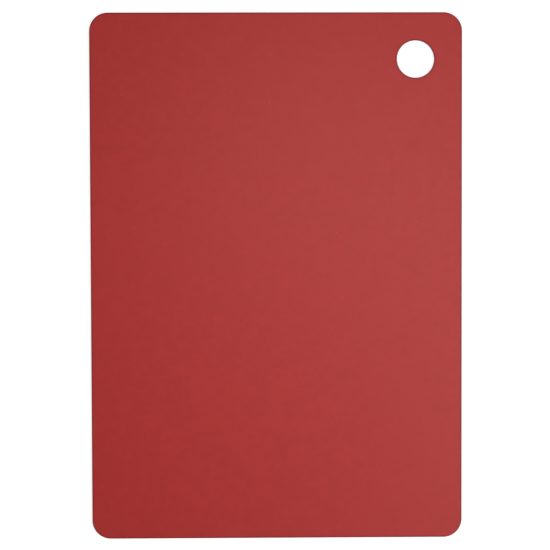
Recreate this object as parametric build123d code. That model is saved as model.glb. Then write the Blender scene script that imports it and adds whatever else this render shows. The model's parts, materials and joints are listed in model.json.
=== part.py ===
from build123d import *
from math import floor, hypot, sqrt
import os

# Flexible cutting mat with a hanging hole: two bonded layers that are die-cut together.
# The mat lies flat on XY, with X across it, Y along it and +Z up, out of the cutting face.
# The origin is the middle of the plane that the mat stands on, at the crowns of its studs.
# Seen from above with +Y pointing away, the hanging hole is in the far right corner.
# Everything is in millimetres.

# Outline, cut through both layers at once
mat_width = 240.0
mat_length = 340.0
corner_radius = 12.0

# Hanging hole, through both layers
hole_diameter = 24.0
hole_inset_x = 30.0
hole_inset_y = 30.0

# Cutting sheet: the hard upper layer. The die comes from above and rounds its rims
sheet_thickness = 1.0
sheet_rim_radius = 0.35

# Grip backing: the soft lower layer, a film with hexagonal studs moulded on its underside
film_thickness = 0.6
stud_height = 0.4
stud_foot_width = 5.0
stud_flank_angle = 45.0
stud_pitch = 14.0
stud_land = 5.0

# A stud's six flats face its six neighbours
stud_sides = 6
stud_turn = 30.0

# Heights above the plane that the mat stands on
film_underside = stud_height
bond_plane = film_underside + film_thickness

hole_x = mat_width / 2 - hole_inset_x
hole_y = mat_length / 2 - hole_inset_y


def cut_outline():
    """The shape that the die cuts: round corners outside, and the hanging hole."""
    blank = RectangleRounded(mat_width, mat_length, corner_radius)
    return blank - Pos(hole_x, hole_y) * Circle(hole_diameter / 2)


def cutting_sheet():
    """The hard layer, with its outer rim and the hole's rim rounded on the cutting face."""
    sheet = Pos(0, 0, bond_plane) * extrude(cut_outline(), sheet_thickness)
    cutting_face = sheet.faces().sort_by(Axis.Z)[-1]
    return fillet(cutting_face.edges(), sheet_rim_radius)


def grip_stud():
    """One hexagonal stud, with its foot on the film and flanks that slope in to its crown."""
    foot = RegularPolygon(stud_foot_width / 2, stud_sides, major_radius=False, rotation=stud_turn)
    prism = extrude(foot, stud_height)
    flanks = prism.faces().filter_by(Axis.Z, reverse=True)
    return draft(flanks, Plane.XY.offset(film_underside), -stud_flank_angle)


def distance_to_cut(x, y):
    """How far inside the mat's outer edge, or outside its hole, a point lies."""
    from_side = mat_width / 2 - abs(x)
    from_end = mat_length / 2 - abs(y)
    from_edge = min(from_side, from_end)
    if from_side < corner_radius and from_end < corner_radius:
        from_edge = corner_radius - hypot(corner_radius - from_side, corner_radius - from_end)
    from_hole = hypot(x - hole_x, y - hole_y) - hole_diameter / 2
    return min(from_edge, from_hole)


def stud_places():
    """The studs' centres: rows half a pitch out of step, clear of every cut edge."""
    row_pitch = stud_pitch * sqrt(3) / 2
    stud_reach = stud_foot_width / sqrt(3)
    rows = floor(mat_length / 2 / row_pitch)
    columns = floor(mat_width / 2 / stud_pitch) + 1
    places = []
    for row in range(-rows, rows + 1):
        y = row * row_pitch
        for column in range(-columns, columns + 1):
            x = (column + row % 2 / 2) * stud_pitch
            if distance_to_cut(x, y) >= stud_land + stud_reach:
                places.append(Pos(x, y))
    return places


def grip_backing():
    """The soft film and its studs as one piece. A stud only touches the film, so it is glued."""
    film = Pos(0, 0, film_underside) * extrude(cut_outline(), film_thickness)
    stud = grip_stud()
    return film.fuse(*[place * stud for place in stud_places()], glue=True)


def write_node(name, shape):
    """Writes one sub-part to its own STEP file, named after its node."""
    shape.label = name
    export_step(shape, os.path.join("parts", name + ".step"))


os.makedirs("parts", exist_ok=True)
write_node("cutting_sheet", cutting_sheet())
write_node("grip_backing", grip_backing())
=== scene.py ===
import json
from math import atan2, cos, floor, hypot, pi, radians, sin, sqrt, tan

import bmesh
import bpy
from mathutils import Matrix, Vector
from mathutils.geometry import delaunay_2d_cdt


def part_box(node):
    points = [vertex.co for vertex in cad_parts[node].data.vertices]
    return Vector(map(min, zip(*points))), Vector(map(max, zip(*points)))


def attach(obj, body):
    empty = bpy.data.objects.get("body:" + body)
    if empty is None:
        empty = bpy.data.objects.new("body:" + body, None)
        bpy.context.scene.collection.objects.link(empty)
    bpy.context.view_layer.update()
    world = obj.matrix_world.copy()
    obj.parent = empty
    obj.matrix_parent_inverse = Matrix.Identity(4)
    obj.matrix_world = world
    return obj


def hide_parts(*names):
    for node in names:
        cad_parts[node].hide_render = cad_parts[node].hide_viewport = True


# The looks of a flexible cutting mat: a hard red sheet, and the studded soft backing under it.
# Everything is in metres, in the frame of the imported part.

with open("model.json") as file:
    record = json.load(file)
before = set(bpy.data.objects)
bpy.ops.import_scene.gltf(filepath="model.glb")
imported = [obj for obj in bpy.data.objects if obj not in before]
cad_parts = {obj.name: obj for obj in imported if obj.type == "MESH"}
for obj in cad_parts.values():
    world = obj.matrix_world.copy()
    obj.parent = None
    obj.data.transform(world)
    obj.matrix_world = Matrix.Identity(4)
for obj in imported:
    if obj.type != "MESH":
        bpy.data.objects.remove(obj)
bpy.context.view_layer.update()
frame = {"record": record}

mm = 0.001

# Places that the frame gives
sheet_low, sheet_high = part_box("cutting_sheet")
backing_low, backing_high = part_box("grip_backing")
half_width = sheet_high.x
half_length = sheet_high.y
cutting_face = sheet_high.z
bond_plane = sheet_low.z
floor_height = backing_low.z
hanging_hole = next(m for m in frame["record"]["mounts"] if m["name"] == "hanging_hole")
hole_x, hole_y = hanging_hole["pos_m"][:2]
hole_radius = hanging_hole["dims"]["r_mm"] * mm

# Sizes of the part that the frame doesn't state
corner_radius = 12 * mm
rim_radius = 0.35 * mm
stud_sides = 6
stud_foot_width = 5 * mm
stud_height = 0.4 * mm
stud_pitch = 14 * mm
stud_land = 5 * mm
flank_angle = radians(45)
film_underside = floor_height + stud_height

# Small roundings that only the looks need
bond_groove = 0.06 * mm
film_rim_radius = 0.12 * mm
stud_edge_radius = 0.12 * mm
stud_corner_radius = 0.5 * mm

# The band of a face beside each cut, inside which a dark line of painted shade runs along the edge
face_band = 1.4 * mm

# How finely the meshes are made
corner_steps = 16
hole_steps = 64
side_spacing = 4 * mm
rim_steps = 6
small_steps = 3
stud_corner_steps = 3
stud_edge_steps = 2
merge_distance = 1e-4 * mm

# Rings of points inside a face: how far from the cut, and one in how many of its points is kept
face_rings = [(3 * mm, 2), (6 * mm, 4)]
film_rings = [(2.6 * mm, 2)]
face_spacing = 10 * mm
stud_ring_gap = 1.2 * mm


def rounded_rectangle(inset, one_in=1):
    """Points of the mat's outline, moved in by inset, with its straight sides divided.

    Of the points round a corner, one in so many is kept.
    """
    radius = corner_radius - inset
    points = []
    for quarter, (side_x, side_y) in enumerate([(1, 1), (-1, 1), (-1, -1), (1, -1)]):
        centre_x = side_x * (half_width - corner_radius)
        centre_y = side_y * (half_length - corner_radius)
        for step in range(0, corner_steps + 1, one_in):
            angle = (quarter + step / corner_steps) * pi / 2
            points.append((centre_x + radius * cos(angle), centre_y + radius * sin(angle)))
        run = 2 * (half_width if quarter % 2 == 0 else half_length) - 2 * corner_radius
        along = pi / 2 * (quarter + 2)
        pieces = round(run / side_spacing)
        end_x, end_y = points[-1]
        for piece in range(1, pieces):
            reach = run * piece / pieces
            points.append((end_x + reach * cos(along), end_y + reach * sin(along)))
    return points


def circle(centre_x, centre_y, radius, steps):
    """Points of a circle."""
    turns = [2 * pi * step / steps for step in range(steps)]
    return [(centre_x + radius * cos(turn), centre_y + radius * sin(turn)) for turn in turns]


def hole_circle(inset, one_in=1):
    """Points of the hanging hole's rim, moved out into the mat by inset. One in so many is kept."""
    return circle(hole_x, hole_y, hole_radius + inset, hole_steps // one_in)


def stud_outline(apothem, centre_x, centre_y):
    """Points of a stud's outline: flats to the left and right, and softened corners."""
    side_turn = 2 * pi / stud_sides
    reach = (apothem - stud_corner_radius) / cos(side_turn / 2)
    points = []
    for corner in range(stud_sides):
        middle = (corner + 0.5) * side_turn
        for step in range(stud_corner_steps + 1):
            angle = (corner + step / stud_corner_steps) * side_turn
            x = centre_x + reach * cos(middle) + stud_corner_radius * cos(angle)
            y = centre_y + reach * sin(middle) + stud_corner_radius * sin(angle)
            points.append((x, y))
    return points


def rounded_profile(corners, radii, steps):
    """An open line through corners, each inner one rounded by an arc of its own radius."""
    corners = [Vector(corner) for corner in corners]
    line = [corners[0]]
    for before, corner, after, radius in zip(corners, corners[1:], corners[2:], radii):
        to_before = (before - corner).normalized()
        to_after = (after - corner).normalized()
        half = to_before.angle(to_after) / 2
        centre = corner + (to_before + to_after).normalized() * radius / sin(half)
        start = corner + to_before * radius / tan(half) - centre
        end = corner + to_after * radius / tan(half) - centre
        sweep = atan2(start.x * end.y - start.y * end.x, start.dot(end))
        for step in range(steps + 1):
            turn = sweep * step / steps
            x = start.x * cos(turn) - start.y * sin(turn)
            y = start.x * sin(turn) + start.y * cos(turn)
            line.append(centre + Vector((x, y)))
    line.append(corners[-1])
    return line


def add_ring(mesh, points, height):
    """A closed ring of vertices at one height."""
    return [mesh.verts.new((x, y, height)) for x, y in points]


def bridge(mesh, lower, upper):
    """A band of quads between two rings that have as many vertices."""
    for i, vertex in enumerate(lower):
        mesh.faces.new((lower[i - 1], vertex, upper[i], upper[i - 1]))


def wall(mesh, outline, profile):
    """A skin that follows an outline. The profile gives each ring's inset and height.

    Each vertex keeps how near it is to the cut: 1 on the cut wall, 0 a band's width inside.
    """
    near_cut = mesh.verts.layers.float.get("near_cut") or mesh.verts.layers.float.new("near_cut")
    rings = []
    for inset, height in profile:
        ring = add_ring(mesh, outline(inset), height)
        for vertex in ring:
            vertex[near_cut] = 1 - inset / face_band
        rings.append(ring)
    for lower, upper in zip(rings, rings[1:]):
        bridge(mesh, lower, upper)
    return rings


def cap(mesh, outer, inner_rings, loose_points, height):
    """A flat face inside the outer ring and around the inner rings, in even triangles."""
    vertices = list(outer)
    owner = [None] * len(outer)
    edges = []
    for number, ring in enumerate(inner_rings):
        vertices += ring
        owner += [number] * len(ring)
    start = 0
    for ring in [outer, *inner_rings]:
        edges += [(start + i, start + (i + 1) % len(ring)) for i in range(len(ring))]
        start += len(ring)
    vertices += add_ring(mesh, loose_points, height)
    owner += [None] * len(loose_points)
    flat = [Vector((vertex.co.x, vertex.co.y)) for vertex in vertices]
    # The triangles cover the holes as well, and those are then left out
    whole_hull = 0
    _, _, triangles, sources, _, _ = delaunay_2d_cdt(flat, edges, [], whole_hull, merge_distance)
    for triangle in triangles:
        corners = [sources[i][0] for i in triangle]
        owners = {owner[i] for i in corners}
        inside_a_hole = len(owners) == 1 and None not in owners
        if not inside_a_hole:
            mesh.faces.new([vertices[i] for i in corners])


def distance_to_cut(x, y):
    """How far inside the mat's outer edge, or outside its hole, a point lies."""
    from_side = half_width - abs(x)
    from_end = half_length - abs(y)
    from_edge = min(from_side, from_end)
    if from_side < corner_radius and from_end < corner_radius:
        from_edge = corner_radius - hypot(corner_radius - from_side, corner_radius - from_end)
    from_hole = hypot(x - hole_x, y - hole_y) - hole_radius
    return min(from_edge, from_hole)


def thinning_rings(rings):
    """Points in rings along every cut edge, with fewer of them round the corners and the hole."""
    return [
        point
        for inset, one_in in rings
        for outline in (rounded_rectangle, hole_circle)
        for point in outline(inset, one_in)
    ]


def lattice(pitch, land, shift_y=0):
    """Points in staggered rows over the mat, at least land away from every cut edge."""
    row_pitch = pitch * sqrt(3) / 2
    rows = floor(half_length / row_pitch) + 1
    columns = floor(half_width / pitch) + 1
    points = []
    for row in range(-rows, rows + 1):
        for column in range(-columns, columns + 1):
            x = (column + row % 2 / 2) * pitch
            y = row * row_pitch + shift_y
            if distance_to_cut(x, y) >= land:
                points.append((x, y))
    return points


def face_points():
    """Points that keep the triangles of a wide flat face even."""
    return thinning_rings(face_rings) + lattice(face_spacing, face_spacing)


def finish_piece(name, mesh, material):
    """Turns a mesh into a smooth piece that rides on the part."""
    bmesh.ops.recalc_face_normals(mesh, faces=mesh.faces)
    data = bpy.data.meshes.new(name)
    mesh.to_mesh(data)
    mesh.free()
    data.shade_smooth()
    data.materials.append(material)
    piece = bpy.data.objects.new(name, data)
    bpy.context.scene.collection.objects.link(piece)
    weights = piece.modifiers.new("flat_faces_stay_flat", "WEIGHTED_NORMAL")
    weights.mode = "FACE_AREA"
    weights.weight = 100
    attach(piece, "root")
    return piece


def make_cutting_sheet(material):
    """The hard layer: its rims are rounded on top, and square but for a hairline below."""
    profile = rounded_profile(
        [(face_band, cutting_face), (0, cutting_face), (0, bond_plane), (face_band, bond_plane)],
        [rim_radius, bond_groove],
        rim_steps,
    )
    mesh = bmesh.new()
    outer = wall(mesh, rounded_rectangle, profile)
    hole = wall(mesh, hole_circle, profile)
    cap(mesh, outer[0], [hole[0]], face_points(), cutting_face)
    cap(mesh, outer[-1], [hole[-1]], face_points(), bond_plane)
    piece = finish_piece("red_cutting_sheet", mesh, material)
    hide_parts("cutting_sheet")


def make_stud(mesh, centre_x, centre_y):
    """One stud, rounded at its foot and its crown. Returns the ring where it meets the film."""
    foot = stud_foot_width / 2
    crown = foot - stud_height * tan(flank_angle)
    past_foot = (foot + stud_foot_width, film_underside)
    middle = (0, floor_height)
    profile = rounded_profile(
        [past_foot, (foot, film_underside), (crown, floor_height), middle],
        [stud_edge_radius, stud_edge_radius],
        stud_edge_steps,
    )
    rings = [
        add_ring(mesh, stud_outline(apothem, centre_x, centre_y), height)
        for apothem, height in profile[1:-1]
    ]
    for lower, upper in zip(rings, rings[1:]):
        bridge(mesh, lower, upper)
    mesh.faces.new(rings[-1])
    return rings[0]


def make_grip_backing(material):
    """The soft layer: a film with a square upper rim and staggered studs underneath."""
    profile = rounded_profile(
        [
            (face_band, bond_plane),
            (0, bond_plane),
            (0, film_underside),
            (face_band, film_underside),
        ],
        [bond_groove, film_rim_radius],
        small_steps,
    )
    mesh = bmesh.new()
    outer = wall(mesh, rounded_rectangle, profile)
    hole = wall(mesh, hole_circle, profile)
    cap(mesh, outer[0], [hole[0]], face_points(), bond_plane)
    stud_reach = stud_foot_width / sqrt(3)
    places = lattice(stud_pitch, stud_land + stud_reach)
    feet = [make_stud(mesh, x, y) for x, y in places]
    between = thinning_rings(film_rings)
    for x, y in places:
        between += circle(x, y, stud_reach + stud_ring_gap, 2 * stud_sides)
    # A point in the middle of every three studs
    for shift in (stud_pitch / sqrt(3), -stud_pitch / sqrt(3)):
        between += lattice(stud_pitch, stud_land, shift)
    cap(mesh, outer[-1], [hole[-1], *feet], between, film_underside)
    piece = finish_piece("soft_grip_backing", mesh, material)
    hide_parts("grip_backing")


# Materials. The scale of a noise is in blobs to the metre

refractive_index = 1.45


def add_node(tree, kind, inputs=None, **settings):
    """A node with its settings and its inputs' fixed values."""
    node = tree.nodes.new(kind)
    for name, value in settings.items():
        setattr(node, name, value)
    for name, value in (inputs or {}).items():
        node.inputs[name].default_value = value
    return node


def new_material(name):
    """A material with its tree, its shader and its object coordinates."""
    material = bpy.data.materials.new(name)
    material.use_nodes = True
    tree = material.node_tree
    shader = tree.nodes["Principled BSDF"]
    place = add_node(tree, "ShaderNodeTexCoord")
    return material, tree, shader, place


def noise(tree, place, scale, detail, stretch=(1, 1, 1)):
    """Noise in the object's own space. It is drawn out along an axis that stretch makes small."""
    node = add_node(tree, "ShaderNodeTexNoise", {"Scale": scale, "Detail": detail})
    mapping = add_node(tree, "ShaderNodeMapping", {"Scale": stretch})
    tree.links.new(place.outputs["Object"], mapping.inputs["Vector"])
    tree.links.new(mapping.outputs["Vector"], node.inputs["Vector"])
    return node.outputs["Fac"]


def spread(tree, value, low, high, from_low=0.3, from_high=0.7):
    """A value from low to high that follows another one. Noise is mostly from 0.3 to 0.7."""
    node = add_node(
        tree,
        "ShaderNodeMapRange",
        {"From Min": from_low, "From Max": from_high, "To Min": low, "To Max": high},
    )
    tree.links.new(value, node.inputs["Value"])
    return node.outputs["Result"]


def mix_colours(tree, factor, first, second):
    """A colour between two others. Each is a colour or another node's output.

    The node has a set of sockets for each kind of value, so those for colours go by number.
    """
    first_socket = 6
    second_socket = 7
    result_socket = 2
    node = add_node(tree, "ShaderNodeMix", data_type="RGBA")
    tree.links.new(factor, node.inputs["Factor"])
    for number, colour in ((first_socket, first), (second_socket, second)):
        socket = node.inputs[number]
        if isinstance(colour, bpy.types.NodeSocket):
            tree.links.new(colour, socket)
        else:
            socket.default_value = (*colour, 1)
    return node.outputs[result_socket]


def combine(tree, operation, first, second):
    """A sum of two values, a product, and so on. Each is a number or another node's output."""
    node = add_node(tree, "ShaderNodeMath", operation=operation)
    for socket, value in zip(node.inputs, (first, second)):
        if isinstance(value, bpy.types.NodeSocket):
            tree.links.new(value, socket)
        else:
            socket.default_value = value
    return node.outputs[0]


def nearness_to_cut(tree):
    """The value that wall() keeps: 1 on the cut wall, 0 a band's width inside it."""
    return add_node(tree, "ShaderNodeAttribute", attribute_name="near_cut").outputs["Fac"]


def relief(tree, place, shader, grain_scale, depth):
    """A grain on the faces, and the upright lines that the die dragged on the cut wall."""
    grain = noise(tree, place, scale=grain_scale, detail=2)
    drag = noise(tree, place, scale=3500, detail=2, stretch=(1, 1, 0.04))
    on_wall = spread(tree, nearness_to_cut(tree), 0, 1, from_low=0.95, from_high=1)
    either = add_node(tree, "ShaderNodeMix")
    tree.links.new(on_wall, either.inputs["Factor"])
    tree.links.new(grain, either.inputs["A"])
    tree.links.new(drag, either.inputs["B"])
    bump = add_node(tree, "ShaderNodeBump", {"Strength": 1, "Distance": depth})
    tree.links.new(either.outputs["Result"], bump.inputs["Height"])
    tree.links.new(bump.outputs["Normal"], shader.inputs["Normal"])


def flecks(tree, place):
    """1 on a few pale flecks, under a millimetre wide, and 0 elsewhere."""
    cells_per_metre = 22
    empty_share = 0.7
    radius = 0.4 * mm
    cells = add_node(
        tree, "ShaderNodeTexVoronoi", {"Scale": cells_per_metre}, voronoi_dimensions="2D"
    )
    tree.links.new(place.outputs["Object"], cells.inputs["Vector"])
    reach = radius * cells_per_metre
    dot = spread(tree, cells.outputs["Distance"], 1, 0, from_low=reach / 2, from_high=reach)
    chance = add_node(tree, "ShaderNodeSeparateColor")
    tree.links.new(cells.outputs["Color"], chance.inputs["Color"])
    shown = combine(tree, "GREATER_THAN", chance.outputs["Red"], empty_share)
    return combine(tree, "MULTIPLY", dot, shown)


def red_plastic():
    """Satin red plastic with a fine grain, and a dark line of painted shade just inside each cut
    edge, where it is also duller.
    """
    material, tree, shader, place = new_material("satin_red_plastic")
    red = (0.376, 0.0184, 0.0155)
    deep_red = (0.343, 0.0162, 0.0135)
    # This colour is painted shade: the dark line laid just inside each cut edge
    edge_shade_red = (0.19, 0.0090, 0.0080)
    pale_red = (0.52, 0.085, 0.076)
    least_roughness = 0.435
    most_roughness = 0.485
    edge_band_extra_roughness = 0.08
    mottle = spread(tree, noise(tree, place, scale=220, detail=3), 0, 1)
    mottled = mix_colours(tree, mottle, deep_red, red)
    flecked = mix_colours(tree, flecks(tree, place), mottled, pale_red)
    near_cut = nearness_to_cut(tree)
    # A band of painted shade just inside each cut edge, darkest about half a millimetre in; the same
    # band also gets rougher
    inner_side = spread(tree, near_cut, 0, 1, from_low=0.15, from_high=0.6)
    outer_side = spread(tree, near_cut, 1, 0, from_low=0.65, from_high=1)
    edge_shade_band = combine(tree, "MULTIPLY", inner_side, outer_side)
    tree.links.new(mix_colours(tree, edge_shade_band, flecked, edge_shade_red), shader.inputs["Base Color"])
    sheen = noise(tree, place, scale=350, detail=3, stretch=(1, 0.6, 1))
    satin = spread(tree, sheen, least_roughness, most_roughness)
    duller = combine(tree, "MULTIPLY", edge_shade_band, edge_band_extra_roughness)
    tree.links.new(combine(tree, "ADD", satin, duller), shader.inputs["Roughness"])
    shader.inputs["IOR"].default_value = refractive_index
    shader.inputs["Specular IOR Level"].default_value = 0.3
    relief(tree, place, shader, grain_scale=2200, depth=0.03 * mm)
    return material


def red_rubber():
    """Soft matt red rubber with a fine stipple, smoother on the crowns of the studs."""
    material, tree, shader, place = new_material("soft_red_rubber")
    red = (0.24, 0.020, 0.017)
    dark_red = (0.21, 0.017, 0.015)
    crown_roughness = 0.55
    film_roughness = 0.75
    clouds = noise(tree, place, scale=60, detail=3)
    tree.links.new(mix_colours(tree, clouds, dark_red, red), shader.inputs["Base Color"])
    axes = add_node(tree, "ShaderNodeSeparateXYZ")
    tree.links.new(place.outputs["Object"], axes.inputs["Vector"])
    rough = spread(
        tree,
        axes.outputs["Z"],
        crown_roughness,
        film_roughness,
        from_low=floor_height,
        from_high=film_underside,
    )
    tree.links.new(rough, shader.inputs["Roughness"])
    shader.inputs["IOR"].default_value = refractive_index
    relief(tree, place, shader, grain_scale=1300, depth=0.1 * mm)
    return material


# Camera, floor and light. Angles are in degrees, and the lens and the sensor in millimetres

camera_place = (-0.014, 0.035, 1)
camera_tilt = (-1.943, -0.750, -0.171)
camera_lens = 101.31
sensor_width = 36
lamp_aim = (0.035, 0.013, 0)


def make_camera():
    """The photograph's view, from a metre above the cutting face."""
    data = bpy.data.cameras.new("camera")
    data.sensor_fit = "HORIZONTAL"
    data.sensor_width = sensor_width
    data.lens = camera_lens
    camera = bpy.data.objects.new("camera", data)
    camera.location = Vector(camera_place) + Vector((0, 0, cutting_face))
    camera.rotation_euler = [radians(angle) for angle in camera_tilt]
    bpy.context.scene.collection.objects.link(camera)
    bpy.context.scene.camera = camera


def shown_as_background(tree):
    """1 for a ray that shows the background: the camera's, a reflected or a refracted one."""
    ray = add_node(tree, "ShaderNodeLightPath").outputs
    seen = combine(tree, "MAXIMUM", ray["Is Camera Ray"], ray["Is Glossy Ray"])
    return combine(tree, "MAXIMUM", seen, ray["Is Transmission Ray"])


def make_floor():
    """A wide floor that shows white. Its grey takes the mat's shadow, and its glow adds the rest.

    The glow is for shown rays alone. It is stronger away from the mat, where the lamps reach
    less. The floor lies a hair below the studs' crowns, so that no two faces share a plane.
    """
    size = 12
    hair = 0.02 * mm
    grey = 0.3
    near_distance = 0.15
    far_distance = 0.6
    near_glow = 0.8
    far_glow = 0.92
    mesh = bmesh.new()
    bmesh.ops.create_grid(mesh, x_segments=1, y_segments=1, size=size / 2)
    bmesh.ops.translate(mesh, verts=mesh.verts, vec=(0, 0, floor_height - hair))
    data = bpy.data.meshes.new("floor")
    mesh.to_mesh(data)
    mesh.free()
    floor_piece = bpy.data.objects.new("floor", data)
    bpy.context.scene.collection.objects.link(floor_piece)
    material, tree, shader, place = new_material("white_floor")
    shader.inputs["Base Color"].default_value = (grey, grey, grey, 1)
    shader.inputs["Roughness"].default_value = 0.9
    shader.inputs["Specular IOR Level"].default_value = 0
    shader.inputs["Emission Color"].default_value = (1, 1, 1, 1)
    away = add_node(tree, "ShaderNodeVectorMath", operation="LENGTH")
    tree.links.new(place.outputs["Object"], away.inputs[0])
    glow = spread(
        tree,
        away.outputs["Value"],
        near_glow,
        far_glow,
        from_low=near_distance,
        from_high=far_distance,
    )
    shown_glow = combine(tree, "MULTIPLY", shown_as_background(tree), glow)
    tree.links.new(shown_glow, shader.inputs["Emission Strength"])
    data.materials.append(material)


def make_world():
    """Even, plain light from all round, shown as white behind the floor."""
    light_strength = 0.29
    shown_strength = 1
    world = bpy.data.worlds.new("world")
    bpy.context.scene.world = world
    world.use_nodes = True
    tree = world.node_tree
    background = tree.nodes["Background"]
    background.inputs["Color"].default_value = (1, 1, 1, 1)
    shown = shown_as_background(tree)
    strength = spread(tree, shown, light_strength, shown_strength, from_low=0, from_high=1)
    tree.links.new(strength, background.inputs["Strength"])


def make_lamp(name, place, width, depth, watts, beam):
    """A soft rectangular lamp that points at the mat, with a beam of so many degrees."""
    data = bpy.data.lights.new(name, "AREA")
    data.shape = "RECTANGLE"
    data.size = width
    data.size_y = depth
    data.energy = watts
    data.spread = radians(beam)
    lamp = bpy.data.objects.new(name, data)
    lamp.location = place
    lamp.rotation_euler = (Vector(lamp_aim) - lamp.location).to_track_quat("-Z", "Y").to_euler()
    bpy.context.scene.collection.objects.link(lamp)


make_camera()
make_cutting_sheet(red_plastic())
make_grip_backing(red_rubber())
make_floor()
make_world()
make_lamp("right_lamp", place=(0.79, -0.30, 1.18), width=0.68, depth=0.73, watts=5.34, beam=112)
make_lamp("top_lamp", place=(0.115, 0.185, 1.1), width=0.28, depth=0.26, watts=0.1155, beam=33.4)
bpy.context.scene.view_settings.view_transform = "Standard"
